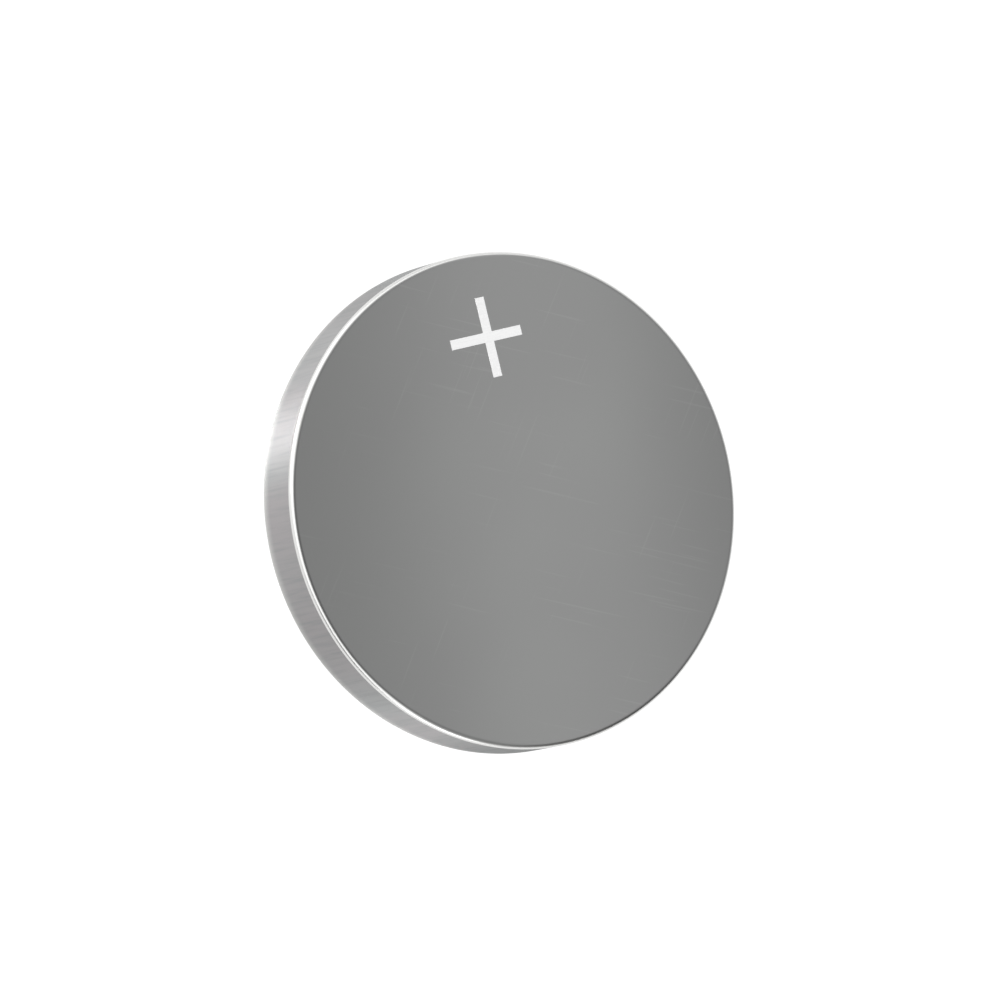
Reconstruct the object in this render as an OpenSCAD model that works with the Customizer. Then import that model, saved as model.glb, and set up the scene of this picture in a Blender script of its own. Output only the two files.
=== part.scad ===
// Round lithium coin cell, 12.5 mm across and 2 mm high, lying on its negative face.
// A drawn steel can is crimped over a plastic gasket, which grips the skirt of a stepped steel cap.
// The origin is the middle of the negative face and +Z points out of the positive face.
// Every piece is a body of revolution, so each module turns one half section about Z.

/* [Cell] */
// Diameter over the can's side wall
cell_d = 12.5; // [11.5:0.1:14]
// Height from the negative face to the positive face
cell_h = 2; // [1.8:0.05:2.6]
// How far the negative face stands out past the crimp
cap_stand = 0.1; // [0.04:0.01:0.2]

/* [Positive can] */
// Sheet thickness of the can
can_t = 0.2; // [0.16:0.01:0.24]
// Outside radius of the edge round the positive face
can_edge_r = 0.14; // [0.08:0.01:0.24]
// Inside radius of the same corner
can_corner_r = 0.1; // [0.05:0.01:0.2]
// Outside radius of the bend that starts the crimp
crimp_r = 0.45; // [0.36:0.01:0.6]
// Angle that the wall is turned through at the crimp
crimp_angle = 100; // [90:1:106]
// Length of the straight lip past the crimp's bend
crimp_lip = 0.3; // [0.15:0.01:0.32]

/* [Negative cap] */
// Sheet thickness of the cap
cap_t = 0.2; // [0.16:0.01:0.24]
// Inside radius of each of the cap's bends
cap_bend_r = 0.1; // [0.05:0.01:0.14]
// Slope of the step between the negative face and the shoulder
cap_step_angle = 70; // [60:1:80]
// Width of the ring seen between the crimp's edge and the foot of the cap's step
seal_gap = 0.3; // [0.22:0.01:0.4]

/* [Sealing gasket] */
// Thickness between the can's wall and the cap's skirt
gasket_wall = 0.25; // [0.18:0.01:0.3]
// Thickness left under the crimp, on the cap's shoulder
gasket_squeeze = 0.12; // [0.1:0.01:0.2]
// Thickness under the end of the cap's skirt
gasket_floor = 0.25; // [0.15:0.01:0.35]
// Thickness of the lip inside the cap's skirt
gasket_lip_t = 0.2; // [0.12:0.01:0.3]
// Height of that lip up the skirt
gasket_lip_h = 0.55; // [0.3:0.01:0.6]
// Width of the gasket's bead that shows inside the crimp's edge
gasket_bead = 0.18; // [0.12:0.01:0.21]

/* [Electrodes] */
// Bare ring of the cap's face round the lithium disc
anode_margin = 0.65; // [0.2:0.05:1]
// Edge radius of the lithium disc
anode_edge_r = 0.06; // [0.02:0.01:0.15]
// Thickness of the separator
separator_t = 0.15; // [0.1:0.01:0.2]
// How far the separator's turned-up rim reaches up inside the gasket's lip
separator_lap = 0.22; // [0.1:0.01:0.4]
// Inside radius of the separator's corner
separator_bend_r = 0.05; // [0.02:0.01:0.15]
// Radial room between the separator's rim and the collector ring
stack_gap = 0.05; // [0.02:0.01:0.1]
// Sheet thickness of the collector ring
ring_t = 0.1; // [0.06:0.01:0.12]
// Height of the collector ring
ring_h = 0.7; // [0.4:0.05:0.8]
// Width of the collector ring's flange
ring_flange = 0.8; // [0.4:0.05:1.5]
// Inside radius of the collector ring's bend
ring_bend_r = 0.06; // [0.03:0.01:0.1]
// Chamfer on the lower edge of the cathode pellet
pellet_chamfer = 0.1; // [0.05:0.01:0.2]

/* [Hidden] */
$fn = 96;
// Straight steps that each bend or rounded edge is drawn with
bend_steps = 12;

// Can: radii of the wall and height of the inside of its positive face
can_ro = cell_d / 2;
can_ri = can_ro - can_t;
can_inside_z = cell_h - can_t;
// Can: the crimp's bend, the way its lip points, and the two corners of the lip's cut edge
crimp_c = [can_ro - crimp_r, cap_stand + crimp_r];
lip_run = crimp_lip * [-sin(crimp_angle), -cos(crimp_angle)];
lip_outer = crimp_c + crimp_r * [cos(crimp_angle), -sin(crimp_angle)] + lip_run;
lip_inner = crimp_c + (crimp_r - can_t) * [cos(crimp_angle), -sin(crimp_angle)] + lip_run;

// Cap: bend radii on the two sides of the sheet, and the skirt
cap_bend_ro = cap_bend_r + cap_t;
cap_ro = can_ri - gasket_wall;
cap_ri = cap_ro - cap_t;
skirt_z = can_inside_z - gasket_floor;
// Cap: the shoulder's two faces and the step that leads up to it
shoulder_z = cap_stand + can_t + gasket_squeeze;
shoulder_top_z = shoulder_z + cap_t;
step_bends = cap_bend_r + cap_bend_ro;
step_straight = (shoulder_z - step_bends * (1 - cos(cap_step_angle))) / sin(cap_step_angle);
step_run = step_bends * sin(cap_step_angle) + step_straight * cos(cap_step_angle);
step_foot_r = lip_outer[0] - seal_gap;
cap_face_r = step_foot_r - step_run;
// Cap: centres of its three bends, from the face's edge out to the skirt
face_bend_c = [cap_face_r, cap_bend_ro];
foot_bend_c = [step_foot_r, shoulder_z - cap_bend_r];
skirt_bend_c = [cap_ro - cap_bend_ro, shoulder_z + cap_bend_ro];

// Gasket: its inner lip, and the bead that bulges out between the crimp's edge and the cap
gasket_lip_ri = cap_ri - gasket_lip_t;
gasket_lip_z = skirt_z - gasket_lip_h;
bead_top = (lip_inner + lip_outer) / 2;
bead_h = shoulder_z - bead_top[1];
bead_w = bead_top[0] - lip_outer[0] + gasket_bead;

// Stack: lithium disc, separator cup, collector ring and cathode pellet
anode_r = cap_face_r - anode_margin;
separator_ri = gasket_lip_ri - separator_t;
separator_bend_ro = separator_bend_r + separator_t;
separator_rim_z = gasket_lip_z + separator_lap;
pellet_z = shoulder_top_z + separator_t;
ring_ro = separator_ri - stack_gap;
ring_ri = ring_ro - ring_t;
ring_end_z = can_inside_z - ring_h;
flange_z = can_inside_z - ring_t;
flange_ri = ring_ri - ring_flange;

// Points along an arc about c, from angle a to angle b
function arc(c, r, a, b) =
    [for (i = [0 : bend_steps]) let (t = a + (b - a) * i / bend_steps) c + r * [cos(t), sin(t)]];

// The gasket's bead: a quarter of an oval, from the cap's shoulder to the middle of the crimp's edge
function bead() =
    [for (p = arc([0, 0], 1, 180, 270)) [bead_top[0] + bead_w * p[0], shoulder_z + bead_h * p[1]]];

// The can's outer skin, from the middle of the positive face to the lip's end
function can_outer_skin() = concat(
    [[0, cell_h]],
    arc([can_ro - can_edge_r, cell_h - can_edge_r], can_edge_r, 90, 0),
    arc(crimp_c, crimp_r, 0, -crimp_angle),
    [lip_outer]
);

// The can's inner skin, from the lip's end up to the corner inside the positive face
function can_inner_skin() = concat(
    [lip_inner],
    arc(crimp_c, crimp_r - can_t, -crimp_angle, 0),
    arc([can_ri - can_corner_r, can_inside_z - can_corner_r], can_corner_r, 0, 90)
);

// The cap's lower skin, from the middle of the negative face out to the end of the skirt
function cap_lower_skin() = concat(
    [[0, 0]],
    arc(face_bend_c, cap_bend_ro, -90, cap_step_angle - 90),
    arc(foot_bend_c, cap_bend_r, 90 + cap_step_angle, 90),
    arc(skirt_bend_c, cap_bend_ro, -90, 0),
    [[cap_ro, skirt_z]]
);

// The cap's upper skin, from the end of the skirt back to the axis
function cap_upper_skin() = concat(
    [[cap_ri, skirt_z]],
    arc(skirt_bend_c, cap_bend_r, 0, -90),
    arc(foot_bend_c, cap_bend_ro, 90, 90 + cap_step_angle),
    arc(face_bend_c, cap_bend_r, cap_step_angle - 90, -90),
    [[0, cap_t]]
);

// A half section, [radius, height] by point, turned about the cell's axis
module turned(section) {
    rotate_extrude() polygon(section);
}

// Deep-drawn steel cup, open downwards, with its rim rolled in over the gasket
module positive_can() {
    color([0.6, 0.61, 0.61])
        turned(concat(can_outer_skin(), can_inner_skin(), [[0, can_inside_z]]));
}

// Pressed steel cap: flat face, step, shoulder, and a skirt that stands in the gasket's groove
module negative_cap() {
    color([0.66, 0.67, 0.67])
        turned(concat(cap_lower_skin(), cap_upper_skin()));
}

// Moulded ring of U section that fills the room between the can and the cap's skirt
module sealing_gasket() {
    color([0.86, 0.87, 0.84])
        turned(concat(
            bead(),
            can_inner_skin(),
            [
                [gasket_lip_ri, can_inside_z],
                [gasket_lip_ri, gasket_lip_z],
                [cap_ri, gasket_lip_z],
                [cap_ri, skirt_z],
                [cap_ro, skirt_z],
            ],
            arc(skirt_bend_c, cap_bend_ro, 0, -90)
        ));
}

// Lithium disc pressed onto the inside of the cap, level with the top of its shoulder
module lithium_anode() {
    color([0.78, 0.78, 0.76])
        turned(concat(
            [[0, cap_t]],
            arc([anode_r - anode_edge_r, cap_t + anode_edge_r], anode_edge_r, -90, 0),
            arc([anode_r - anode_edge_r, shoulder_top_z - anode_edge_r], anode_edge_r, 0, 90),
            [[0, shoulder_top_z]]
        ));
}

// Felt cup between the electrodes, its rim turned up inside the gasket's lip
module separator_cup() {
    bend_c = [gasket_lip_ri - separator_bend_ro, shoulder_top_z + separator_bend_ro];
    color([0.93, 0.93, 0.9])
        turned(concat(
            [[0, shoulder_top_z]],
            arc(bend_c, separator_bend_ro, -90, 0),
            [[gasket_lip_ri, separator_rim_z], [separator_ri, separator_rim_z]],
            arc(bend_c, separator_bend_r, 0, -90),
            [[0, pellet_z]]
        ));
}

// Pressed manganese dioxide disc, rebated at the top for the collector ring
module cathode_pellet() {
    color([0.16, 0.16, 0.16])
        turned(concat(
            [
                [0, pellet_z],
                [ring_ri - pellet_chamfer, pellet_z],
                [ring_ri, pellet_z + pellet_chamfer],
            ],
            arc([ring_ri - ring_bend_r, flange_z - ring_bend_r], ring_bend_r, 0, 90),
            [[flange_ri, flange_z], [flange_ri, can_inside_z], [0, can_inside_z]]
        ));
}

// Thin steel ring of L section round the pellet, which carries its current to the can
module cathode_ring() {
    bend_c = [ring_ri - ring_bend_r, flange_z - ring_bend_r];
    color([0.5, 0.5, 0.52])
        turned(concat(
            [[ring_ri, ring_end_z], [ring_ro, ring_end_z]],
            arc(bend_c, ring_bend_r + ring_t, 0, 90),
            [[flange_ri, can_inside_z], [flange_ri, flange_z]],
            arc(bend_c, ring_bend_r, 90, 0)
        ));
}

positive_can();
negative_cap();
sealing_gasket();
lithium_anode();
separator_cup();
cathode_pellet();
cathode_ring();
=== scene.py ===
"""Dresses the lithium coin cell: fine turned shells, satin steel, the polarity sign and the stage."""

import math
from collections import namedtuple

import bmesh
import bpy
from bpy.props import FloatProperty, FloatVectorProperty, IntProperty, PointerProperty
from mathutils import Matrix, Vector


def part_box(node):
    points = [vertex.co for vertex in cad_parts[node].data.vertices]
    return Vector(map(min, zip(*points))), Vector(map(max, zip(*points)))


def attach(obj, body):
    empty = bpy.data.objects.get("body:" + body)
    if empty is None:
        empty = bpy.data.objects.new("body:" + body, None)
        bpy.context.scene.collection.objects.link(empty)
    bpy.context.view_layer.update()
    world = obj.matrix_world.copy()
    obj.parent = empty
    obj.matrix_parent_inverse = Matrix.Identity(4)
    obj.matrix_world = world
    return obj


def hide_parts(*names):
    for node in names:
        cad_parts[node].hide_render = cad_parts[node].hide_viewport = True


bl_info = {
    "name": "Coin cell dressing",
    "version": (1, 0, 0),
    "blender": (4, 5, 0),
    "location": "3D View > Sidebar > Coin Cell",
    "description": "Builds the visible shells, finishes and stage of a lithium coin cell",
    "category": "Object",
}

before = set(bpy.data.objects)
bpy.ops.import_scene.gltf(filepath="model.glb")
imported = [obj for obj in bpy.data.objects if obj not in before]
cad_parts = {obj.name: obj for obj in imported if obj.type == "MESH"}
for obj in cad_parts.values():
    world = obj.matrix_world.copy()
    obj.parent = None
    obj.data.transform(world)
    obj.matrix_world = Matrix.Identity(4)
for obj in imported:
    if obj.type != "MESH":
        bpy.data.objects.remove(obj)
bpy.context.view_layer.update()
BODY = "root"
MM = 0.001
CELL_LOW, CELL_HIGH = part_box("positive_can")
CELL_R = (CELL_HIGH[1] - CELL_LOW[1]) / 2
CELL_H = CELL_HIGH[2]
WHITE = (1.0, 1.0, 1.0, 1.0)
# Faces that meet at more than this angle have a sharp edge between them
SHARP_ANGLE = math.radians(32)
# How far from a bend a long straight run gets a point of its own, so that the run shades flat
HOLD = 0.012 * MM


def length(name, description, default):
    """A property for a length in metres, shown with its unit."""
    return FloatProperty(
        name=name, description=description, default=default, min=0.0, precision=6, unit="LENGTH"
    )


def angle(name, description, degrees):
    """A property for an angle, whose default is given in degrees."""
    return FloatProperty(
        name=name, description=description, default=math.radians(degrees), subtype="ANGLE"
    )


def share(name, description, default):
    """A property for a number between 0 and 1."""
    return FloatProperty(
        name=name, description=description, default=default, min=0.0, max=1.0, subtype="FACTOR"
    )


def pixels(name, description, default):
    """A property for a size or place in the picture."""
    return FloatProperty(name=name, description=description, default=default, subtype="PIXEL")


def brightness(name, description, default):
    """A property for how bright something is, where 1 is white."""
    return FloatProperty(name=name, description=description, default=default, min=0.0)


def colour(name, description, default):
    """A property for a colour without alpha."""
    return FloatVectorProperty(
        name=name, description=description, default=default, subtype="COLOR", size=3, min=0.0, max=1.0
    )


class CellSizes(bpy.types.PropertyGroup):
    """Section of the can, the cap and the gasket, as the frame's solids have it."""

    radius: length("Radius", "Radius over the can's side wall", CELL_R)
    height: length("Height", "Height from the negative face to the positive face", CELL_H)
    can_sheet: length("Can sheet", "Thickness of the can's steel", 0.2 * MM)
    edge_r: length("Face edge", "Outside radius of the edge round the positive face", 0.14 * MM)
    corner_r: length("Inner corner", "Inside radius of the can's corner", 0.1 * MM)
    crimp_r: length("Crimp bend", "Outside radius of the bend that starts the crimp", 0.45 * MM)
    crimp_angle: angle("Crimp angle", "Angle that the wall is turned through at the crimp", 100)
    crimp_lip: length("Crimp lip", "Straight lip past the crimp's bend", 0.3 * MM)
    cut_r: length("Cut edge", "Rounding of the sheet's cut edge at the crimp", 0.03 * MM)
    cap_stand: length("Cap stand", "How far the negative face stands out past the crimp", 0.1 * MM)
    cap_sheet: length("Cap sheet", "Thickness of the cap's steel", 0.2 * MM)
    cap_bend_r: length("Cap bend", "Inside radius of the cap's bends", 0.1 * MM)
    step_angle: angle("Cap step", "Slope of the step between the face and the shoulder", 70)
    seal_gap: length("Seal ring", "Width seen between the crimp and the cap's step", 0.3 * MM)
    gasket_wall: length("Gasket wall", "Plastic between the can's wall and the skirt", 0.25 * MM)
    gasket_squeeze: length("Gasket under crimp", "Plastic left under the crimp", 0.12 * MM)
    gasket_floor: length("Gasket floor", "Plastic under the end of the skirt", 0.25 * MM)
    gasket_lip_t: length("Gasket lip", "Thickness of the lip inside the skirt", 0.2 * MM)
    gasket_lip_h: length("Gasket lip height", "Height of the lip up the skirt", 0.55 * MM)
    gasket_bead: length("Gasket bead", "Width of the bead that shows inside the crimp", 0.18 * MM)
    segments: IntProperty(name="Segments", description="Steps round the axis", default=384, min=48)
    bend_steps: IntProperty(name="Bend steps", description="Steps in each bend", default=14, min=4)


class SignSizes(bpy.types.PropertyGroup):
    """The polarity sign on the positive face."""

    across: length("Across", "Length of each bar of the sign", 2.03 * MM)
    stroke: length("Stroke", "Width of each bar", 0.25 * MM)
    x: length("Right", "Place of the level bar's middle along X", 0.232 * MM)
    y: length("Up", "Place of the sign's middle along Y", 4.108 * MM)
    upright: length("Upright bar", "How far its middle is to the level bar's right", 0.07 * MM)
    thickness: length("Thickness", "How far the mark stands off the steel", 0.004 * MM)


class FinishColours(bpy.types.PropertyGroup):
    """Colours and roughness of the cell's finishes."""

    steel: colour("Can steel", "Nickel-plated steel of the can", (0.366, 0.37, 0.366))
    # Lighter steel on the edge round the face: a painted highlight for its white line
    steel_edge_highlight: colour("Can steel, edge", "Face's edge, polished by its die", (0.68, 0.68, 0.67))
    steel_wall: colour("Can steel, wall", "The drawn side wall", (0.362, 0.368, 0.368))
    steel_warm: colour("Can steel, warm", "Faint warm bands on the drawn wall", (0.376, 0.36, 0.365))
    # Lighter steel on the crimp: a painted highlight
    steel_crimp_highlight: colour("Can steel, crimp", "The crimp, polished by its tool", (0.55, 0.55, 0.54))
    steel_dull: colour("Can steel, dull", "Cloudy patches of the same plating", (0.356, 0.358, 0.356))
    face_rough: share("Face roughness", "Roughness of the satin face", 0.28)
    wall_rough: share("Wall roughness", "Roughness of the drawn side wall", 0.55)
    cap_steel: colour("Cap steel", "Nickel-plated steel of the cap", (0.6, 0.6, 0.585))
    cap_rough: share("Cap roughness", "Roughness of the cap", 0.32)
    gasket: colour("Gasket", "Milky moulded plastic", (0.74, 0.75, 0.71))
    sign: colour("Sign", "White of the polarity sign", (0.97, 0.97, 0.97))
    lithium: colour("Lithium", "Dull rolled lithium", (0.56, 0.56, 0.53))
    felt: colour("Separator", "Non-woven felt", (0.82, 0.81, 0.76))
    cathode: colour("Cathode", "Pressed black powder", (0.035, 0.034, 0.036))
    strip: colour("Collector ring", "Plain steel strip", (0.5, 0.49, 0.47))


class StageSizes(bpy.types.PropertyGroup):
    """Camera, floor and lights."""

    view_tilt: angle("View tilt", "Angle between the cell's axis and the view", 27.9)
    view_roll: angle("View roll", "How far the cell's +X is turned up in the picture", 13.5)
    scale: pixels("Scale", "Pixels to a millimetre at the cell", 40.05)
    face_px_x: pixels("Face right", "From the picture's left to the face's middle", 516.5)
    face_px_y: pixels("Face down", "From the picture's top to the face's middle", 499.4)
    picture: pixels("Picture", "Width of the picture", 1000)
    lens: FloatProperty(name="Lens", description="Focal length", default=300, unit="CAMERA")
    floor: colour("Floor", "What the floor mirrors of the light on it", (0.1, 0.1, 0.1))
    floor_glow: brightness("Floor glow", "Light that the floor gives", 1.0)
    floor_size: length("Floor size", "Half the floor's width", 0.6)
    tent_glow: brightness("Tent glow", "Light from the tent's walls", 1.65)
    card_glow: brightness("Card glow", "Light from the grey card that the face mirrors", 0.5)
    foot_glow: brightness("Foot glow", "Light from the tent's foot", 0.45)
    strip_glow: brightness("Strip glow", "Light from the soft strip", 0.4)


class Field:
    """A shader socket that sums can be written with; each operator adds one Math node."""

    def __init__(self, shader, socket):
        self.shader = shader
        self.socket = socket

    def _math(self, operation, first, second):
        return self.shader.node("ShaderNodeMath", {"operation": operation}, {0: first, 1: second})

    def __add__(self, other):
        return self._math("ADD", self, other)

    def __sub__(self, other):
        return self._math("SUBTRACT", self, other)

    def __mul__(self, other):
        return self._math("MULTIPLY", self, other)

    def __truediv__(self, other):
        return self._math("DIVIDE", self, other)

    def __pow__(self, other):
        return self._math("POWER", self, other)

    def __rsub__(self, other):
        return self._math("SUBTRACT", other, self)

    def __rtruediv__(self, other):
        return self._math("DIVIDE", other, self)

    __radd__ = __add__
    __rmul__ = __mul__


class Shader:
    """A material's or the world's node tree, built up by expressions."""

    def __init__(self, tree):
        self.tree = tree
        tree.nodes.clear()

    def node(self, kind, settings=None, values=None, out=0):
        """Adds one node: settings first, then the values or links of its sockets."""
        node = self.tree.nodes.new(kind)
        for name, value in (settings or {}).items():
            setattr(node, name, value)
        for name, value in (values or {}).items():
            if isinstance(value, Field):
                self.tree.links.new(value.socket, node.inputs[name])
            else:
                node.inputs[name].default_value = value
        return Field(self, node.outputs[out]) if node.outputs else None

    def place(self):
        """The point on the piece in millimetres."""
        point = self.node("ShaderNodeTexCoord", out="Object")
        return self.node(
            "ShaderNodeVectorMath", {"operation": "SCALE"}, {0: point, "Scale": 1 / MM}
        )

    def split(self, vector):
        """The three parts of a vector."""
        parts = self.node("ShaderNodeSeparateXYZ", values={"Vector": vector})
        outputs = parts.socket.node.outputs
        return [Field(self, outputs[i]) for i in range(3)]

    def joined(self, x, y, z):
        """A vector from three values."""
        return self.node("ShaderNodeCombineXYZ", values={"X": x, "Y": y, "Z": z})

    def stretched(self, vector, scale):
        """A vector multiplied by one number for each axis."""
        return self.node("ShaderNodeVectorMath", {"operation": "MULTIPLY"}, {0: vector, 1: scale})

    def turned(self, vector, degrees):
        """A vector turned about Z."""
        return self.node(
            "ShaderNodeVectorRotate",
            {"rotation_type": "Z_AXIS"},
            {"Vector": vector, "Angle": math.radians(degrees)},
        )

    def noise(self, vector, scale, detail=3.0, roughness=0.5):
        """Soft noise between 0 and 1."""
        return self.node(
            "ShaderNodeTexNoise",
            values={"Vector": vector, "Scale": scale, "Detail": detail, "Roughness": roughness},
        )

    def ranged(self, value, low, high):
        """A smooth step of a value: 0 up to low, and 1 from high on."""
        return self.node(
            "ShaderNodeMapRange",
            {"interpolation_type": "SMOOTHSTEP"},
            {"Value": value, "From Min": low, "From Max": high},
        )

    def mixed(self, factor, first, second):
        """One colour that passes into another."""
        return self.node(
            "ShaderNodeMix",
            {"data_type": "RGBA"},
            {"Factor": factor, "A": opaque(first), "B": opaque(second)},
            out="Result",
        )

    def bumped(self, height, rise):
        """A normal from a height; rise is how far a height of 1 stands out, in millimetres."""
        return self.node("ShaderNodeBump", values={"Height": height, "Distance": rise * MM})

    def principled(self, **values):
        """The principled surface; base_color sets its Base Color, and so on."""
        named = {name.replace("_", " ").title(): value for name, value in values.items()}
        return self.node("ShaderNodeBsdfPrincipled", values=named)

    def surface(self, **values):
        """The principled surface and the output that takes it."""
        self.node("ShaderNodeOutputMaterial", values={"Surface": self.principled(**values)})


def opaque(value):
    """A colour with its alpha, or a link as it is."""
    return value if isinstance(value, Field) else (*value, 1.0)


def shaded(tint, factor):
    """The same colour, lighter or darker by a factor."""
    return tuple(part * factor for part in tint)


def swing(noise, width):
    """Noise as a swing to both sides of 0, over a given width."""
    return (noise - 0.5) * width


def round_axis(shader, place):
    """A point as the way out from Z, in two parts of a unit vector, its radius and its height."""
    x, y, z = shader.split(place)
    radius = (x * x + y * y) ** 0.5
    return x / radius, y / radius, radius, z


def new_finish(name):
    """A new material and the shader that builds it."""
    material = bpy.data.materials.new(name)
    material.use_nodes = True
    return material, Shader(material.node_tree)


def hairlines(shader, place, degrees, fineness, keep):
    """Sparse straight scratches that run one way: 1 on a scratch and 0 beside it.

    The noise is drawn out along the scratches, and only its peaks above keep are left.
    """
    draw_out, blur = 0.3, 0.04
    along = shader.stretched(shader.turned(place, degrees), (draw_out, fineness, 1.0))
    lines = shader.noise(along, scale=1.0, detail=1.0)
    patches = shader.noise(place, scale=0.4, detail=1.0)
    return shader.ranged(lines, keep, keep + blur) * shader.ranged(patches, 0.42, 0.6)


def satin_steel(colours, face_height):
    """The can's positive face and its edge: satin plating with faint clouds, a few hairlines, and
    lighter steel on the edge that paints a highlight.
    """
    material, shader = new_finish("satin_nickel_face")
    place = shader.place()
    cloud = shader.noise(place, scale=0.22, detail=1.0)
    grain = shader.noise(place, scale=16.0, detail=2.0)
    scratches = hairlines(shader, place, degrees=24, fineness=12.0, keep=0.66)
    scratches += hairlines(shader, place, degrees=-52, fineness=15.0, keep=0.68)
    tint = shader.mixed(shader.ranged(cloud, 0.3, 0.7), colours.steel, colours.steel_dull)
    tint = shader.mixed(scratches * 0.6, tint, shaded(colours.steel, 1.08))
    # How far below the face, in millimetres, the edge's painted highlight begins to show, and is full
    highlight_start, highlight_full = 0.005, 0.03
    height = shader.split(place)[2]
    on_face = shader.ranged(height, face_height / MM - highlight_full, face_height / MM - highlight_start)
    shader.surface(
        # The edge round the face gets lighter steel, a painted highlight
        base_color=shader.mixed(on_face, colours.steel_edge_highlight, tint),
        metallic=1.0,
        roughness=colours.face_rough + swing(cloud, 0.03),
        normal=shader.bumped(grain * 0.25 - scratches * 0.75, rise=0.00008),
    )
    return material


def drawn_steel(colours):
    """The can's side wall and crimp: plating drawn upright, with the crimping tool's roll lines and a
    painted highlight of lighter steel on the crimp.
    """
    material, shader = new_finish("drawn_nickel_wall")
    place = shader.place()
    out_x, out_y, radius, height = round_axis(shader, place)
    # Heights, in millimetres, between which the crimp's painted highlight fades into the drawn wall
    in_crimp = 1 - shader.ranged(height, 0.35, 0.8)
    grain = shader.noise(place, scale=26.0, detail=2.0, roughness=0.6)
    bands = shader.noise(shader.joined(out_x, out_y, height * 0.02), scale=2.2, detail=2.0)
    upright = shader.joined(out_x * 70.0, out_y * 70.0, height * 0.45)
    draw_lines = shader.noise(upright, scale=1.0, detail=3.0)
    level = shader.joined(out_x, out_y, (height + radius) * 14.0)
    roll_lines = shader.noise(level, scale=1.0, detail=2.0)
    tint = shader.mixed(shader.ranged(bands, 0.35, 0.65), colours.steel_wall, colours.steel_warm)
    dark = shaded(colours.steel_wall, 0.92)
    tint = shader.mixed(shader.ranged(draw_lines, 0.4, 0.75), tint, dark)
    marks = grain * 0.3 + draw_lines * 0.4 + in_crimp * roll_lines * 0.7
    shader.surface(
        # Low on the wall the colour passes into the crimp's lighter steel, a painted highlight
        base_color=shader.mixed(in_crimp, tint, colours.steel_crimp_highlight),
        metallic=1.0,
        roughness=colours.wall_rough + swing(draw_lines, 0.12) + swing(grain, 0.08),
        anisotropic=0.92,
        anisotropic_rotation=0.25,
        normal=shader.bumped(marks, rise=0.0005),
    )
    return material


def cap_steel(colours):
    """The cap: the same plating, a little duller, with the fine ring marks of its press tool."""
    material, shader = new_finish("satin_nickel_cap")
    place = shader.place()
    out_x, out_y, radius, height = round_axis(shader, place)
    grain = shader.noise(place, scale=26.0, detail=3.0, roughness=0.6)
    cloud = shader.noise(place, scale=0.2, detail=1.0)
    level = shader.joined(out_x * 0.5, out_y * 0.5, (radius + height) * 9.0)
    rings = shader.noise(level, scale=1.0, detail=2.0)
    scratches = hairlines(shader, place, degrees=70, fineness=24.0, keep=0.68)
    scratches += hairlines(shader, place, degrees=8, fineness=28.0, keep=0.7)
    dull = shaded(colours.cap_steel, 0.96)
    shader.surface(
        base_color=shader.mixed(shader.ranged(cloud, 0.35, 0.65), colours.cap_steel, dull),
        metallic=1.0,
        roughness=colours.cap_rough + swing(grain, 0.06) + swing(cloud, 0.04) + scratches * 0.06,
        normal=shader.bumped(grain * 0.2 + rings * 0.8 - scratches * 0.5, rise=0.0012),
    )
    return material


def milky_plastic(colours):
    """The gasket: moulded plastic that light gets a little way into."""
    material, shader = new_finish("milky_gasket")
    place = shader.place()
    flow = shader.noise(place, scale=1.6, detail=3.0)
    grain = shader.noise(place, scale=18.0, detail=2.0)
    deep = shaded(colours.gasket, 0.9)
    shader.surface(
        base_color=shader.mixed(shader.ranged(flow, 0.3, 0.7), colours.gasket, deep),
        roughness=0.4 + swing(grain, 0.12),
        subsurface_weight=0.3,
        subsurface_radius=(0.3 * MM, 0.3 * MM, 0.25 * MM),
        normal=shader.bumped(flow * 0.6 + grain * 0.4, rise=0.0015),
    )
    return material


def frosted_sign(colours):
    """The polarity sign: a white frosted mark with a faint line-by-line burn."""
    material, shader = new_finish("frosted_sign")
    place = shader.place()
    x, y, z = shader.split(place)
    passes = shader.noise(shader.joined(x * 0.8, y * 28.0, z), scale=1.0, detail=2.0)
    grain = shader.noise(place, scale=40.0, detail=2.0)
    grey = shaded(colours.sign, 0.96)
    shader.surface(
        base_color=shader.mixed(shader.ranged(passes, 0.35, 0.75), colours.sign, grey),
        roughness=0.62 + swing(grain, 0.1),
        normal=shader.bumped(passes * 0.5 + grain * 0.5, rise=0.0008),
    )
    return material


def rolled_lithium(colours):
    """The lithium disc: soft grey metal with rolling marks and a dull film."""
    material, shader = new_finish("rolled_lithium")
    place = shader.place()
    rolling = shader.noise(shader.stretched(place, (0.5, 9.0, 1.0)), scale=1.0, detail=3.0)
    film = shader.noise(place, scale=0.8, detail=4.0)
    dark = shaded(colours.lithium, 0.7)
    shader.surface(
        base_color=shader.mixed(shader.ranged(film, 0.45, 0.75), colours.lithium, dark),
        metallic=0.9,
        roughness=0.45 + film * 0.15 + swing(rolling, 0.1),
        normal=shader.bumped(rolling, rise=0.003),
    )
    return material


def felted_fibre(colours):
    """The separator: fine fibres laid every way and pressed together."""
    material, shader = new_finish("felted_fibre")
    place = shader.place()
    lays = (12, 71, 133)
    fibres = 0.0
    for degrees in lays:
        lay = shader.stretched(shader.turned(place, degrees), (1.4, 22.0, 6.0))
        fibres = shader.noise(lay, scale=1.0, detail=2.0) + fibres
    fibres = fibres / len(lays)
    dark = shaded(colours.felt, 0.82)
    shader.surface(
        base_color=shader.mixed(shader.ranged(fibres, 0.42, 0.58), dark, colours.felt),
        roughness=0.9,
        normal=shader.bumped(fibres, rise=0.02),
    )
    return material


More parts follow.
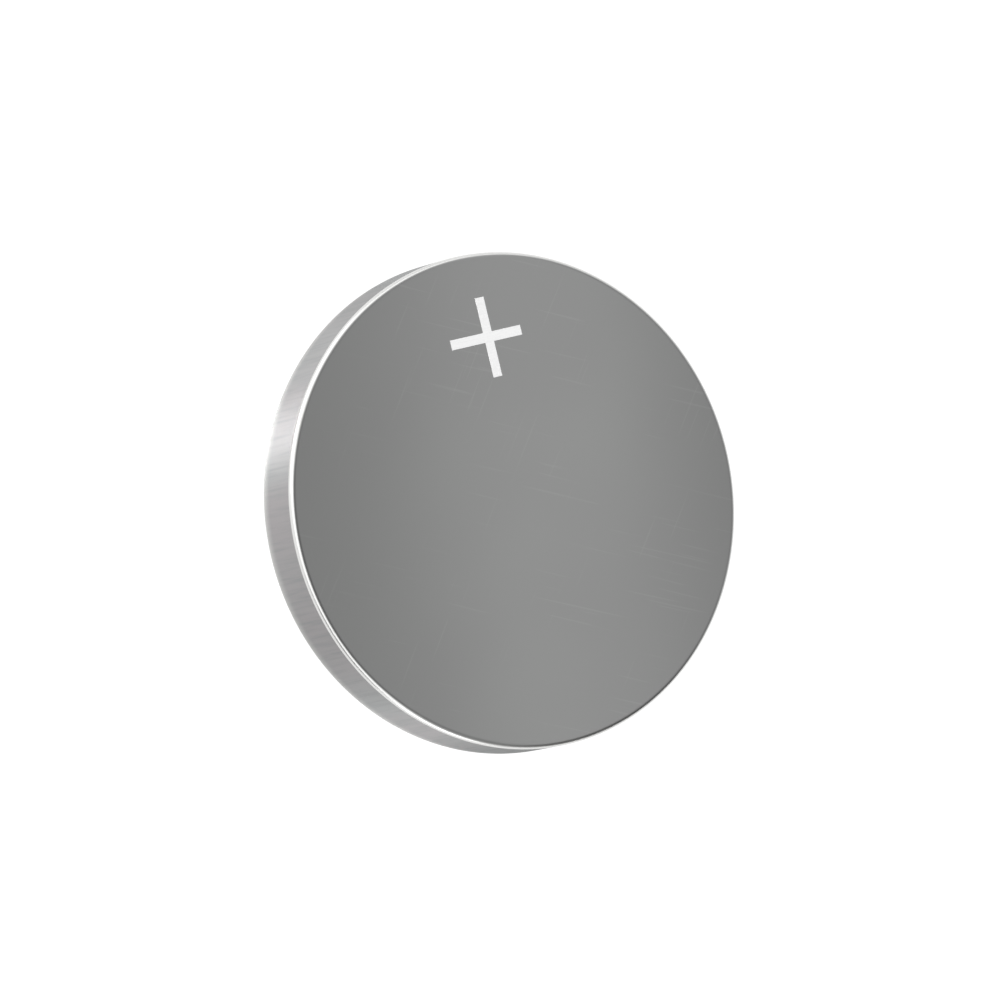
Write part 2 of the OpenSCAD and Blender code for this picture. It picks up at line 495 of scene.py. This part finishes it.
def pressed_powder(colours):
    """The cathode pellet: black grains with a slight graphite glint."""
    material, shader = new_finish("pressed_powder")
    place = shader.place()
    grains = shader.noise(place, scale=14.0, detail=5.0, roughness=0.7)
    glint = shader.ranged(shader.noise(place, scale=42.0, detail=1.0), 0.68, 0.74)
    light = shaded(colours.cathode, 2.2)
    shader.surface(
        base_color=shader.mixed(shader.ranged(grains, 0.4, 0.7), colours.cathode, light),
        metallic=glint * 0.5,
        roughness=0.85 - glint * 0.4,
        normal=shader.bumped(grains, rise=0.01),
    )
    return material


def strip_steel(colours):
    """The collector ring: plain strip with the lines of its rolling."""
    material, shader = new_finish("strip_steel")
    place = shader.place()
    x, y, z = shader.split(place)
    lines = shader.noise(shader.joined(x * 0.6, y * 0.6, z * 24.0), scale=1.0, detail=3.0)
    dark = shaded(colours.strip, 0.85)
    shader.surface(
        base_color=shader.mixed(shader.ranged(lines, 0.35, 0.65), colours.strip, dark),
        metallic=1.0,
        roughness=0.32 + swing(lines, 0.16),
        normal=shader.bumped(lines, rise=0.0008),
    )
    return material


def arc(centre, radius, start, end, steps):
    """Points of a section along an arc, with its angles in degrees."""
    points = []
    for i in range(steps + 1):
        t = math.radians(start + (end - start) * i / steps)
        points.append(centre + radius * Vector((math.cos(t), math.sin(t))))
    return points


class Section:
    """The cell's half section, worked out from its sizes: a point is a radius and a height."""

    def __init__(self, cell):
        self.cell = cell
        self.steps = cell.bend_steps
        self.inside_r = cell.radius - cell.can_sheet
        self.inside_z = cell.height - cell.can_sheet
        self.bend = math.degrees(cell.crimp_angle)
        self.step = math.degrees(cell.step_angle)
        self.crimp_c = Vector((cell.radius - cell.crimp_r, cell.cap_stand + cell.crimp_r))
        along = Vector((-math.sin(cell.crimp_angle), -math.cos(cell.crimp_angle)))
        out = Vector((math.cos(cell.crimp_angle), -math.sin(cell.crimp_angle)))
        self.lip_along = along
        self.lip_out = out
        self.lip_outer = self.crimp_c + cell.crimp_r * out + cell.crimp_lip * along
        self.lip_inner = self.lip_outer - cell.can_sheet * out

        self.bend_out = cell.cap_bend_r + cell.cap_sheet
        self.skirt_out = self.inside_r - cell.gasket_wall
        self.skirt_in = self.skirt_out - cell.cap_sheet
        self.skirt_z = self.inside_z - cell.gasket_floor
        self.shoulder_z = cell.cap_stand + cell.can_sheet + cell.gasket_squeeze
        bends = cell.cap_bend_r + self.bend_out
        rise = self.shoulder_z - bends * (1 - math.cos(cell.step_angle))
        run = bends * math.sin(cell.step_angle) + rise / math.tan(cell.step_angle)
        foot_r = self.lip_outer.x - cell.seal_gap
        self.face_c = Vector((foot_r - run, self.bend_out))
        self.foot_c = Vector((foot_r, self.shoulder_z - cell.cap_bend_r))
        self.skirt_c = Vector((self.skirt_out - self.bend_out, self.shoulder_z + self.bend_out))

    def cut_edge(self):
        """The rounded cut edge at the end of the crimp's lip."""
        cut = self.cell.cut_r
        outer_c = self.lip_outer - cut * self.lip_out - cut * self.lip_along
        inner_c = self.lip_inner + cut * self.lip_out - cut * self.lip_along
        tip = math.degrees(math.atan2(self.lip_along.y, self.lip_along.x)) % 360
        steps = self.steps // 2
        return arc(outer_c, cut, tip + 90, tip, steps) + arc(inner_c, cut, tip, tip - 90, steps)

    def can_inner_skin(self):
        """The can's inner skin past its lip, up to the corner inside the positive face."""
        cell = self.cell
        corner = Vector((self.inside_r - cell.corner_r, self.inside_z - cell.corner_r))
        bend = arc(self.crimp_c, cell.crimp_r - cell.can_sheet, -self.bend, 0, self.steps)
        return bend + arc(corner, cell.corner_r, 0, 90, self.steps)

    def can(self):
        """The whole can, closed."""
        cell = self.cell
        edge = Vector((cell.radius - cell.edge_r, cell.height - cell.edge_r))
        outer = [Vector((0, cell.height))]
        outer += arc(edge, cell.edge_r, 90, 0, self.steps)
        outer += arc(self.crimp_c, cell.crimp_r, 0, -self.bend, 2 * self.steps)
        return outer + self.cut_edge() + self.can_inner_skin() + [Vector((0, self.inside_z))]

    def cap(self):
        """The whole cap, closed."""
        tilt = self.step
        inner_r, outer_r, steps = self.cell.cap_bend_r, self.bend_out, self.steps
        lower = [Vector((0, 0))]
        lower += arc(self.face_c, outer_r, -90, tilt - 90, steps)
        lower += arc(self.foot_c, inner_r, 90 + tilt, 90, steps)
        lower += arc(self.skirt_c, outer_r, -90, 0, steps)
        upper = arc(self.skirt_c, inner_r, 0, -90, steps)
        upper += arc(self.foot_c, outer_r, 90, 90 + tilt, steps)
        upper += arc(self.face_c, inner_r, tilt - 90, -90, steps)
        skirt = [Vector((self.skirt_out, self.skirt_z)), Vector((self.skirt_in, self.skirt_z))]
        return lower + skirt + upper + [Vector((0, self.cell.cap_sheet))]

    def gasket(self):
        """The whole gasket, closed, with the bead that shows beside the crimp."""
        cell = self.cell
        bead_top = (self.lip_inner + self.lip_outer) / 2
        bead_h = self.shoulder_z - bead_top.y
        bead_w = bead_top.x - self.lip_outer.x + cell.gasket_bead
        quarter = arc(Vector((0, 0)), 1, 180, 270, self.steps)
        bead = [Vector((bead_top.x + bead_w * p.x, self.shoulder_z + bead_h * p.y)) for p in quarter]
        lip_r = self.skirt_in - cell.gasket_lip_t
        lip_z = self.skirt_z - cell.gasket_lip_h
        groove = [
            Vector((lip_r, self.inside_z)),
            Vector((lip_r, lip_z)),
            Vector((self.skirt_in, lip_z)),
            Vector((self.skirt_in, self.skirt_z)),
            Vector((self.skirt_out, self.skirt_z)),
        ]
        points = bead + [self.lip_inner] + self.can_inner_skin() + groove
        return points + arc(self.skirt_c, self.bend_out, 0, -90, self.steps)


def held(points):
    """The same outline with a point close to each end of its long straight runs."""
    long_run, off_axis = 6 * HOLD, 2 * HOLD
    result = []
    for here, following in zip(points, points[1:] + points[:1]):
        result.append(here)
        run = following - here
        if run.length > long_run:
            step = run.normalized() * HOLD
            result += [point for point in (here + step, following - step) if point.x > off_axis]
    return result


def placed(name, data):
    """A new object in the scene."""
    piece = bpy.data.objects.new(name, data)
    bpy.context.scene.collection.objects.link(piece)
    return piece


def solid(name, bm):
    """A new object with the mesh of a closed form, its faces turned outwards."""
    bmesh.ops.recalc_face_normals(bm, faces=bm.faces)
    mesh = bpy.data.meshes.new(name)
    bm.to_mesh(mesh)
    bm.free()
    return placed(name, mesh)


def turned_piece(name, outline, segments):
    """A closed solid made by turning a closed half section about Z."""
    bm = bmesh.new()
    rings = [ring(bm, point, segments) for point in held(outline)]
    for one, other in zip(rings, rings[1:] + rings[:1]):
        join_rings(bm, one, other, segments)
    piece = solid(name, bm)
    piece.data.shade_smooth()
    piece.data.set_sharp_from_angle(angle=SHARP_ANGLE)
    return piece


def ring(bm, point, segments):
    """The vertices of one ring, or the single one on the axis."""
    on_axis = 1e-7
    if point.x < on_axis:
        return [bm.verts.new((0, 0, point.y))]
    turns = [2 * math.pi * i / segments for i in range(segments)]
    return [bm.verts.new((point.x * math.cos(t), point.x * math.sin(t), point.y)) for t in turns]


def join_rings(bm, one, other, segments):
    """Faces between two rings, either of which may be a point on the axis."""
    if len(one) == 1 and len(other) == 1:
        return
    for i in range(segments):
        j = (i + 1) % segments
        if len(one) == 1:
            bm.faces.new((one[0], other[i], other[j]))
        elif len(other) == 1:
            bm.faces.new((one[i], other[0], one[j]))
        else:
            bm.faces.new((one[i], other[i], other[j], one[j]))


def dressed(piece, material, slot, *nodes):
    """Gives a piece its finish and body, and lets it stand for CAD nodes; the slot is not used."""
    piece.data.materials.append(material)
    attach(piece, BODY)
    if nodes:
        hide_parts(*nodes)


class CELL_OT_can(bpy.types.Operator):
    """Turns the positive can and gives it its satin nickel finish"""

    bl_idname = "coin_cell.can"
    bl_label = "Positive can"

    def execute(self, context):
        cell = context.scene.coin_cell_sizes
        piece = turned_piece("can_shell", Section(cell).can(), cell.segments)
        colours = context.scene.coin_cell_finish
        dressed(piece, satin_steel(colours, cell.height), "can_steel", "positive_can")
        piece.data.materials.append(drawn_steel(colours))
        edge_foot = cell.height - cell.edge_r
        for polygon in piece.data.polygons:
            polygon.material_index = int(polygon.center.z < edge_foot)
        return {"FINISHED"}


class CELL_OT_cap(bpy.types.Operator):
    """Turns the negative cap and gives it its finish"""

    bl_idname = "coin_cell.cap"
    bl_label = "Negative cap"

    def execute(self, context):
        cell = context.scene.coin_cell_sizes
        piece = turned_piece("cap_shell", Section(cell).cap(), cell.segments)
        dressed(piece, cap_steel(context.scene.coin_cell_finish), "cap_steel", "negative_cap")
        return {"FINISHED"}


class CELL_OT_gasket(bpy.types.Operator):
    """Turns the sealing gasket and gives it its finish"""

    bl_idname = "coin_cell.gasket"
    bl_label = "Sealing gasket"

    def execute(self, context):
        cell = context.scene.coin_cell_sizes
        piece = turned_piece("seal_ring", Section(cell).gasket(), cell.segments)
        finish = milky_plastic(context.scene.coin_cell_finish)
        dressed(piece, finish, "gasket_plastic", "sealing_gasket")
        return {"FINISHED"}


class CELL_OT_sign(bpy.types.Operator):
    """Lays the plus sign on the positive face"""

    bl_idname = "coin_cell.sign"
    bl_label = "Polarity sign"

    def execute(self, context):
        cell = context.scene.coin_cell_sizes
        sign = context.scene.coin_cell_sign
        piece = plus_sign("polarity_sign", sign, cell.height)
        dressed(piece, frosted_sign(context.scene.coin_cell_finish), "can_steel")
        return {"FINISHED"}


def plus_sign(name, sign, base):
    """A thin plus sign that stands on a level face at the height of base."""
    reach, half = sign.across / 2, sign.stroke / 2
    quarters = ((1, 1), (-1, 1), (-1, -1), (1, -1))
    outline = []
    for side_x, side_y in quarters:
        arm_end = (side_x * reach, side_y * half)
        inner = (sign.upright + side_x * half, side_y * half)
        post_end = (sign.upright + side_x * half, side_y * reach)
        # Going round, every other quarter starts at its upright bar
        outline += [arm_end, inner, post_end] if side_x == side_y else [post_end, inner, arm_end]
    bm = bmesh.new()
    foot, top = (
        [bm.verts.new((sign.x + x, sign.y + y, z)) for x, y in outline]
        for z in (base, base + sign.thickness)
    )
    bm.faces.new(foot)
    bm.faces.new(top)
    join_rings(bm, foot, top, len(outline))
    return solid(name, bm)


class CELL_OT_stack(bpy.types.Operator):
    """Gives the sealed electrodes, separator and collector ring their finishes"""

    bl_idname = "coin_cell.stack"
    bl_label = "Inner stack"

    def execute(self, context):
        colours = context.scene.coin_cell_finish
        finishes = {
            "lithium_anode": rolled_lithium,
            "separator_cup": felted_fibre,
            "cathode_pellet": pressed_powder,
            "cathode_ring": strip_steel,
        }
        for node, finish in finishes.items():
            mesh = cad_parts[node].data
            mesh.materials.clear()
            mesh.materials.append(finish(colours))
        return {"FINISHED"}


def view_axes(stage):
    """The camera's right, up and back directions in the cell's frame."""
    tilt, roll = stage.view_tilt, stage.view_roll
    back = Vector((-math.sin(tilt), 0, math.cos(tilt)))
    across = Vector((math.cos(tilt), 0, math.sin(tilt)))
    up_face = Vector((0, 1, 0))
    right = across * math.cos(roll) - up_face * math.sin(roll)
    up = across * math.sin(roll) + up_face * math.cos(roll)
    return right, up, back


def mirrored_view(stage):
    """The way in which the camera looks on once the face has mirrored it."""
    return Vector((math.sin(stage.view_tilt), 0, math.cos(stage.view_tilt)))


def turned_to(right, up, back, where):
    """The matrix that puts a camera or light somewhere, from its right, up and back directions."""
    return Matrix.Translation(where) @ Matrix((right, up, back)).transposed().to_4x4()


def make_camera(stage, face_height):
    """A long lens on the cell, turned and placed as the photograph has it."""
    right, up, back = view_axes(stage)
    data = bpy.data.cameras.new("view")
    data.lens = stage.lens
    data.clip_start = 1 * MM
    pixel = MM / stage.scale
    distance = stage.lens * stage.picture * pixel / data.sensor_width
    middle = stage.picture / 2
    aim = Vector((0, 0, face_height))
    aim -= right * (stage.face_px_x - middle) * pixel
    aim += up * (stage.face_px_y - middle) * pixel
    camera = placed("view", data)
    camera.matrix_world = turned_to(right, up, back, aim + back * distance)
    bpy.context.scene.camera = camera


def make_floor(stage):
    """A plain pale floor under the cell, clear when it is seen from below."""
    half = stage.floor_size
    mesh = bpy.data.meshes.new("floor")
    corners = [(-half, -half, 0), (half, -half, 0), (half, half, 0), (-half, half, 0)]
    mesh.from_pydata(corners, [], [(0, 1, 2, 3)])
    material, shader = new_finish("pale_floor")
    top = shader.principled(
        base_color=opaque(stage.floor),
        roughness=0.9,
        emission_color=WHITE,
        emission_strength=stage.floor_glow,
    )
    under = shader.node("ShaderNodeBsdfTransparent")
    backfacing = shader.node("ShaderNodeNewGeometry", out="Backfacing")
    both = shader.node("ShaderNodeMixShader", values={"Fac": backfacing, 1: top, 2: under})
    shader.node("ShaderNodeOutputMaterial", values={"Surface": both})
    mesh.materials.append(material)
    floor = placed("floor", mesh)


def direction(azimuth, elevation):
    """The way to a point of the surroundings, from its azimuth and elevation in degrees."""
    a, e = math.radians(azimuth), math.radians(elevation)
    return Vector((math.cos(e) * math.cos(a), math.cos(e) * math.sin(a), math.sin(e)))


def make_strip(stage):
    """A soft strip of light that the face mirrors as a faint lighter band up its middle."""
    distance, width, height = 25 * MM, 7 * MM, 50 * MM
    data = bpy.data.lights.new("face_strip", "AREA")
    data.shape = "RECTANGLE"
    data.size, data.size_y = width, height
    data.energy = stage.strip_glow * math.pi * width * height
    way = mirrored_view(stage)
    side = view_axes(stage)[1].cross(way).normalized()
    light = placed("face_strip", data)
    light.matrix_world = turned_to(side, way.cross(side), way, way * distance)
    light.visible_camera = False


def near(shader, way, towards, outer, inner):
    """1 inside an inner angle about a direction of the surroundings and 0 outside an outer one."""
    closeness = shader.node(
        "ShaderNodeVectorMath", {"operation": "DOT_PRODUCT"}, {0: way, 1: towards}, out="Value"
    )
    return shader.ranged(closeness, math.cos(math.radians(outer)), math.cos(math.radians(inner)))


def covered(under, mask, over):
    """One value under another, which shows where the mask is 1."""
    return under * (1 - mask) + mask * over


Card = namedtuple("Card", "azimuth elevation outer inner glow")
# Cards in the tent, each laid over those before it: its place and the half angles at which it
# ends and is whole, all in degrees, and its glow
CARDS = (
    # A low light for the wall's lower end
    Card(azimuth=255, elevation=2, outer=18, inner=8, glow=4.6),
    # Shade for the edge round the face, at the bottom
    Card(azimuth=288, elevation=34, outer=35, inner=20, glow=0.44),
    # Shade for the thin dark line where that edge leaves the face
    Card(azimuth=208, elevation=78, outer=28, inner=15, glow=0.2),
    # Shade for the wall at the lower left
    Card(azimuth=215, elevation=-4, outer=31, inner=21, glow=0.05),
    # Shade for the edge at the lower right
    Card(azimuth=-50, elevation=20, outer=34, inner=18, glow=0.13),
    # A low light for the wall's upper left
    Card(azimuth=112, elevation=2, outer=17, inner=8, glow=3.4),
    # Shade above the strong light, so that no view burns the face out by mirroring it
    Card(azimuth=140, elevation=24, outer=15, inner=8, glow=0.8),
    # A strong low light for the wall's highlight
    Card(azimuth=140, elevation=3, outer=10, inner=4, glow=34.0),
)


def make_world(stage):
    """A light tent: a grey card that the face mirrors, bright walls, a dim foot, and the cards."""
    world = bpy.data.worlds.new("studio")
    world.use_nodes = True
    shader = Shader(world.node_tree)
    way = shader.node("ShaderNodeTexCoord", out="Generated")
    # The dim foot has faded out at this share of the tent's height
    foot_top = 0.3
    foot = 1 - shader.ranged(shader.split(way)[2], 0.0, foot_top)
    face_card = near(shader, way, mirrored_view(stage), outer=62, inner=26)
    glow = covered(stage.tent_glow, face_card, stage.card_glow)
    glow = covered(glow, foot, stage.foot_glow)
    for card in CARDS:
        towards = direction(card.azimuth, card.elevation)
        glow = covered(glow, near(shader, way, towards, card.outer, card.inner), card.glow)
    seen = shader.node("ShaderNodeLightPath", out="Is Camera Ray")
    glow = covered(glow, seen, 1.0)
    background = shader.node("ShaderNodeBackground", values={"Color": WHITE, "Strength": glow})
    shader.node("ShaderNodeOutputWorld", values={"Surface": background})
    bpy.context.scene.world = world


class CELL_OT_stage(bpy.types.Operator):
    """Makes the camera, floor, light tent and soft strip"""

    bl_idname = "coin_cell.stage"
    bl_label = "Stage"

    def execute(self, context):
        stage = context.scene.coin_cell_stage
        make_camera(stage, context.scene.coin_cell_sizes.height)
        make_floor(stage)
        make_world(stage)
        make_strip(stage)
        context.scene.view_settings.view_transform = "Standard"
        return {"FINISHED"}


class CELL_PT_panel(bpy.types.Panel):
    """Lists the cell's pieces and sizes"""

    bl_idname = "CELL_PT_panel"
    bl_label = "Coin Cell"
    bl_space_type = "VIEW_3D"
    bl_region_type = "UI"
    bl_category = "Coin Cell"

    def draw(self, context):
        """Shows a button for each operator and a box for each group of sizes or colours."""
        for operator in OPERATORS:
            self.layout.operator(operator.bl_idname)
        for name in GROUPS:
            group = getattr(context.scene, name)
            box = self.layout.box()
            for field in group.bl_rna.properties.keys():
                if field not in ("rna_type", "name"):
                    box.prop(group, field)


GROUPS = {
    "coin_cell_sizes": CellSizes,
    "coin_cell_sign": SignSizes,
    "coin_cell_finish": FinishColours,
    "coin_cell_stage": StageSizes,
}
OPERATORS = (CELL_OT_can, CELL_OT_cap, CELL_OT_gasket, CELL_OT_sign, CELL_OT_stack, CELL_OT_stage)
CLASSES = (*GROUPS.values(), *OPERATORS, CELL_PT_panel)


def register():
    """Registers the classes and gives the scene its groups of sizes and colours."""
    for cls in CLASSES:
        bpy.utils.register_class(cls)
    for name, group in GROUPS.items():
        setattr(bpy.types.Scene, name, PointerProperty(type=group))


def unregister():
    """Takes the groups and classes out again."""
    for name in GROUPS:
        delattr(bpy.types.Scene, name)
    for cls in reversed(CLASSES):
        bpy.utils.unregister_class(cls)


def main():
    """Builds every piece in order."""
    register()
    bpy.ops.coin_cell.can()
    bpy.ops.coin_cell.cap()
    bpy.ops.coin_cell.gasket()
    bpy.ops.coin_cell.sign()
    bpy.ops.coin_cell.stack()
    bpy.ops.coin_cell.stage()


if __name__ == "__main__":
    main()
